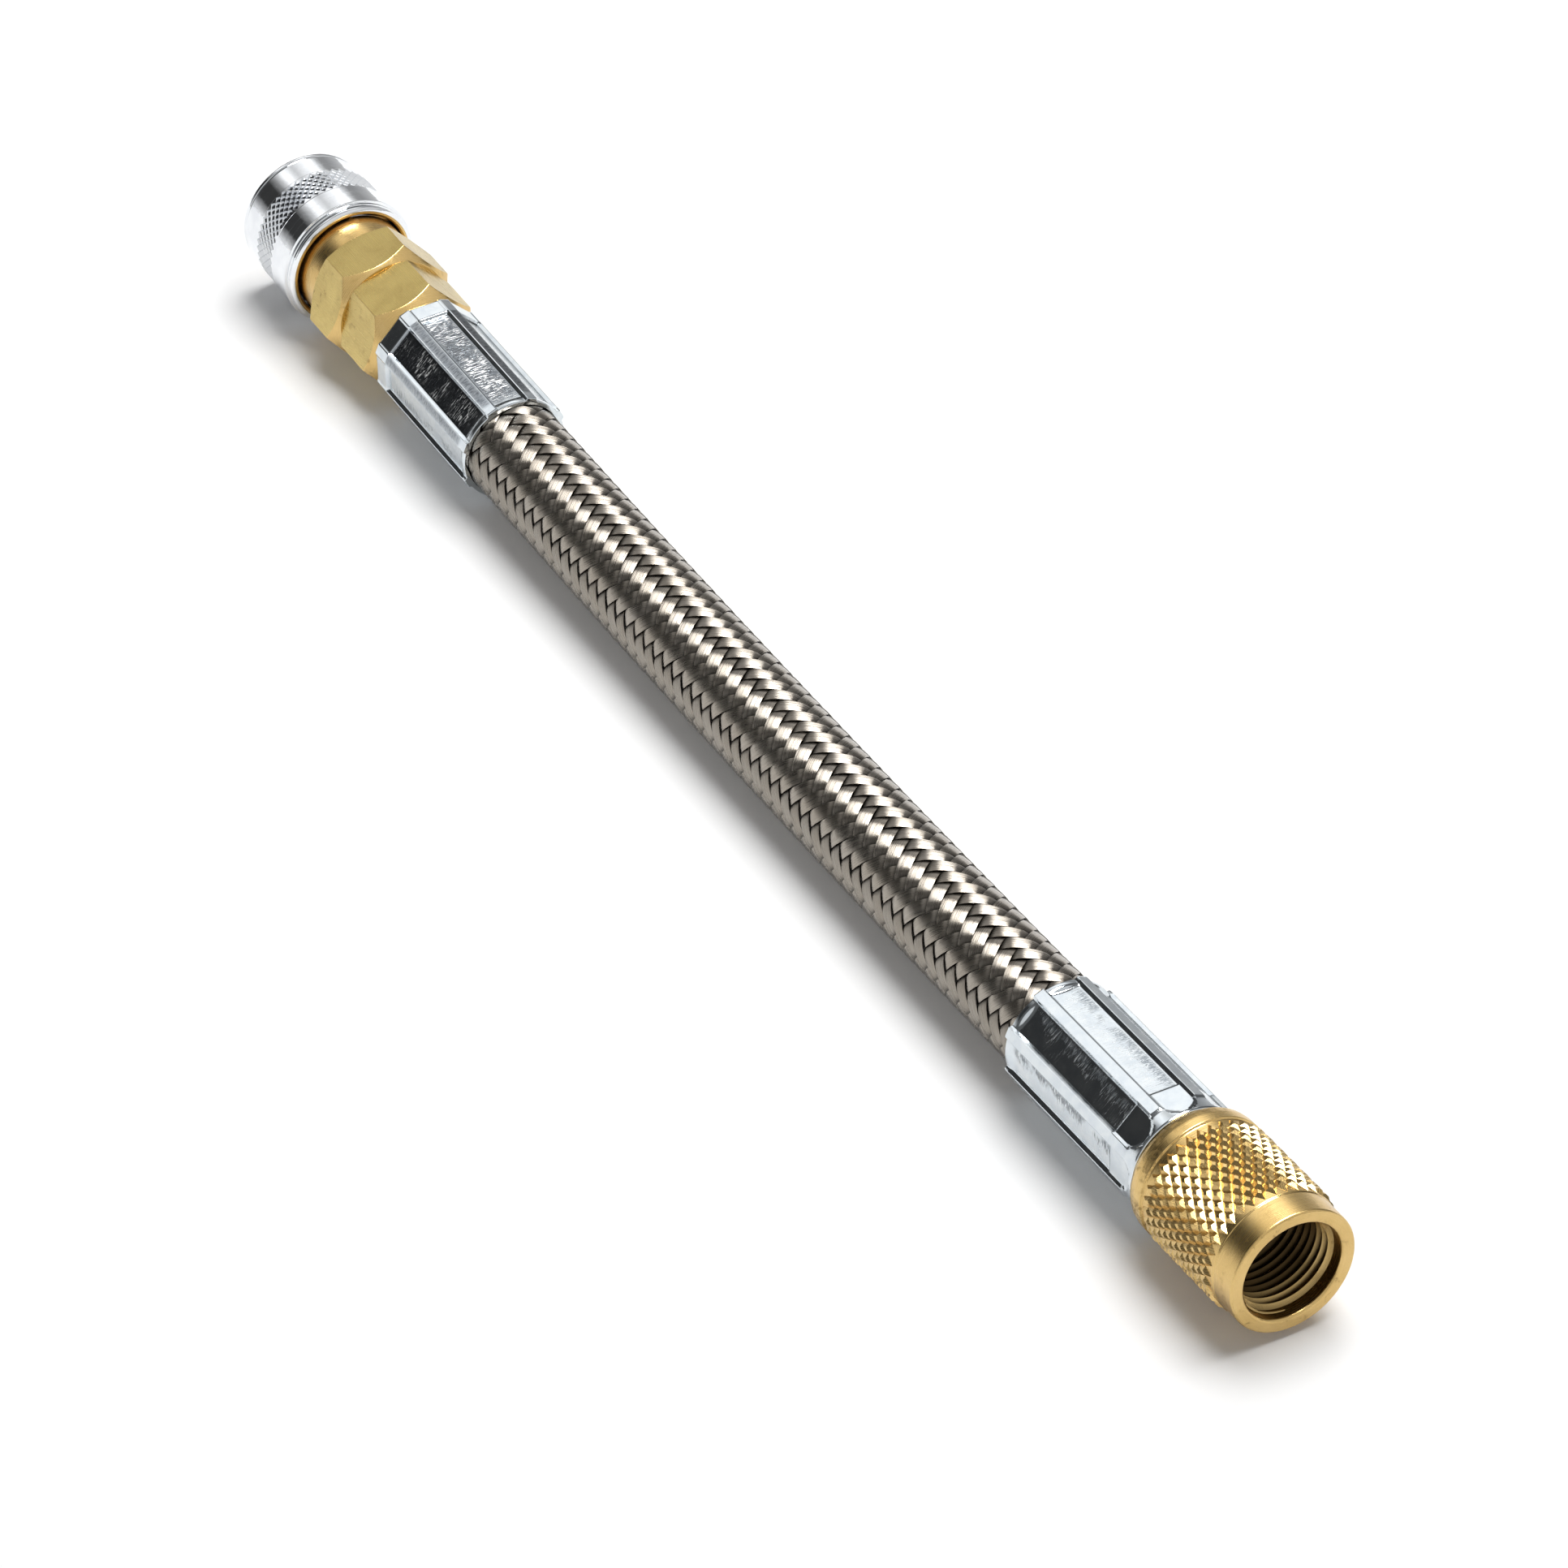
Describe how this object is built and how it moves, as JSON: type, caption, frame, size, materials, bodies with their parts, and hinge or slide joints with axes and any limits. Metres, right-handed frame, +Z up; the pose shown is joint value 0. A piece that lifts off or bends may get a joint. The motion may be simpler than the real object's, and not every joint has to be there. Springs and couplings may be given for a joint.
{
  "type": "braided propane quick-connect hose",
  "caption": "Short stainless-braided gas hose with crimped ferrules, a ball-lock quick coupler with a shut-off valve at one end and a knurled swivel nut at the other.",
  "frame": {"origin": "on the surface that the hose lies on, below the middle of its overall length and of its width", "axes": "+X along the hose towards the swivel nut, +Y across it, +Z up; the hose sags in the XZ plane"},
  "size_m": [0.3048, 0.0236, 0.0237],
  "materials": {
    "rubber": "matt black gas rubber",
    "braid": "woven stainless wire, slightly warm, with bright flats",
    "ferrule_zinc": "bright zinc plating, scuffed by the crimping jaws",
    "brass": "machined brass, turned faces, satin with bright edges",
    "sleeve_plating": "bright nickel-chrome plating on brass",
    "spring_steel": "plain bright spring steel"
  },
  "bodies": {
    "root": {"inner_tube": "rubber", "braid_jacket": "braid", "coupler_ferrule": "ferrule_zinc", "nut_ferrule": "ferrule_zinc", "coupler_stem": "brass", "coupler_body": "brass", "coupler_barrel": "brass", "barrel_gasket": "rubber", "plug_seal": "rubber", "stop_ring": "spring_steel", "valve_spring": "spring_steel", "sleeve_spring": "spring_steel", "nut_stem": "brass"},
    "sleeve": {"lock_sleeve": "sleeve_plating", "sleeve_guide_ring": "brass"},
    "valve": {"valve_poppet": "brass", "valve_washer": "rubber"},
    "nut": {"swivel_nut": "brass"},
    "ball_1": {"lock_ball_1": "spring_steel"},
    "ball_2": {"lock_ball_2": "spring_steel"},
    "ball_3": {"lock_ball_3": "spring_steel"},
    "ball_4": {"lock_ball_4": "spring_steel"},
    "ball_5": {"lock_ball_5": "spring_steel"},
    "ball_6": {"lock_ball_6": "spring_steel"}
  },
  "joints": [
    {"name": "sleeve_slide", "type": "slide", "parent": "root", "child": "sleeve", "axis": [0.9994, 0, -0.0337], "range_m": [0, 0.004], "stiffness_N_per_m": 1500, "springref_m": -0.004, "deforming": ["sleeve_spring"]},
    {"name": "valve_slide", "type": "slide", "parent": "root", "child": "valve", "axis": [0.9994, 0, -0.0337], "range_m": [0, 0.003], "stiffness_N_per_m": 500, "springref_m": -0.003, "deforming": ["valve_spring"]},
    {"name": "nut_spin", "type": "hinge", "parent": "root", "child": "nut", "pos_m": [0.12854, 0, 0.01077], "axis": [0.9995, 0, 0.0314], "continuous": true},
    {"name": "ball_1_slide", "type": "slide", "parent": "root", "child": "ball_1", "axis": [0.0337, 0, 0.9994], "range_m": [0, 0.00095]},
    {"name": "ball_2_slide", "type": "slide", "parent": "root", "child": "ball_2", "axis": [0.0168, 0.866, 0.4997], "range_m": [0, 0.00095]},
    {"name": "ball_3_slide", "type": "slide", "parent": "root", "child": "ball_3", "axis": [-0.0168, 0.866, -0.4997], "range_m": [0, 0.00095]},
    {"name": "ball_4_slide", "type": "slide", "parent": "root", "child": "ball_4", "axis": [-0.0337, 0, -0.9994], "range_m": [0, 0.00095]},
    {"name": "ball_5_slide", "type": "slide", "parent": "root", "child": "ball_5", "axis": [-0.0168, -0.866, -0.4997], "range_m": [0, 0.00095]},
    {"name": "ball_6_slide", "type": "slide", "parent": "root", "child": "ball_6", "axis": [0.0168, -0.866, 0.4997], "range_m": [0, 0.00095]}
  ],
  "couplings": [
    {"joint": "ball_1_slide", "follows": "sleeve_slide", "ratio": 0.2375},
    {"joint": "ball_2_slide", "follows": "sleeve_slide", "ratio": 0.2375},
    {"joint": "ball_3_slide", "follows": "sleeve_slide", "ratio": 0.2375},
    {"joint": "ball_4_slide", "follows": "sleeve_slide", "ratio": 0.2375},
    {"joint": "ball_5_slide", "follows": "sleeve_slide", "ratio": 0.2375},
    {"joint": "ball_6_slide", "follows": "sleeve_slide", "ratio": 0.2375}
  ]
}
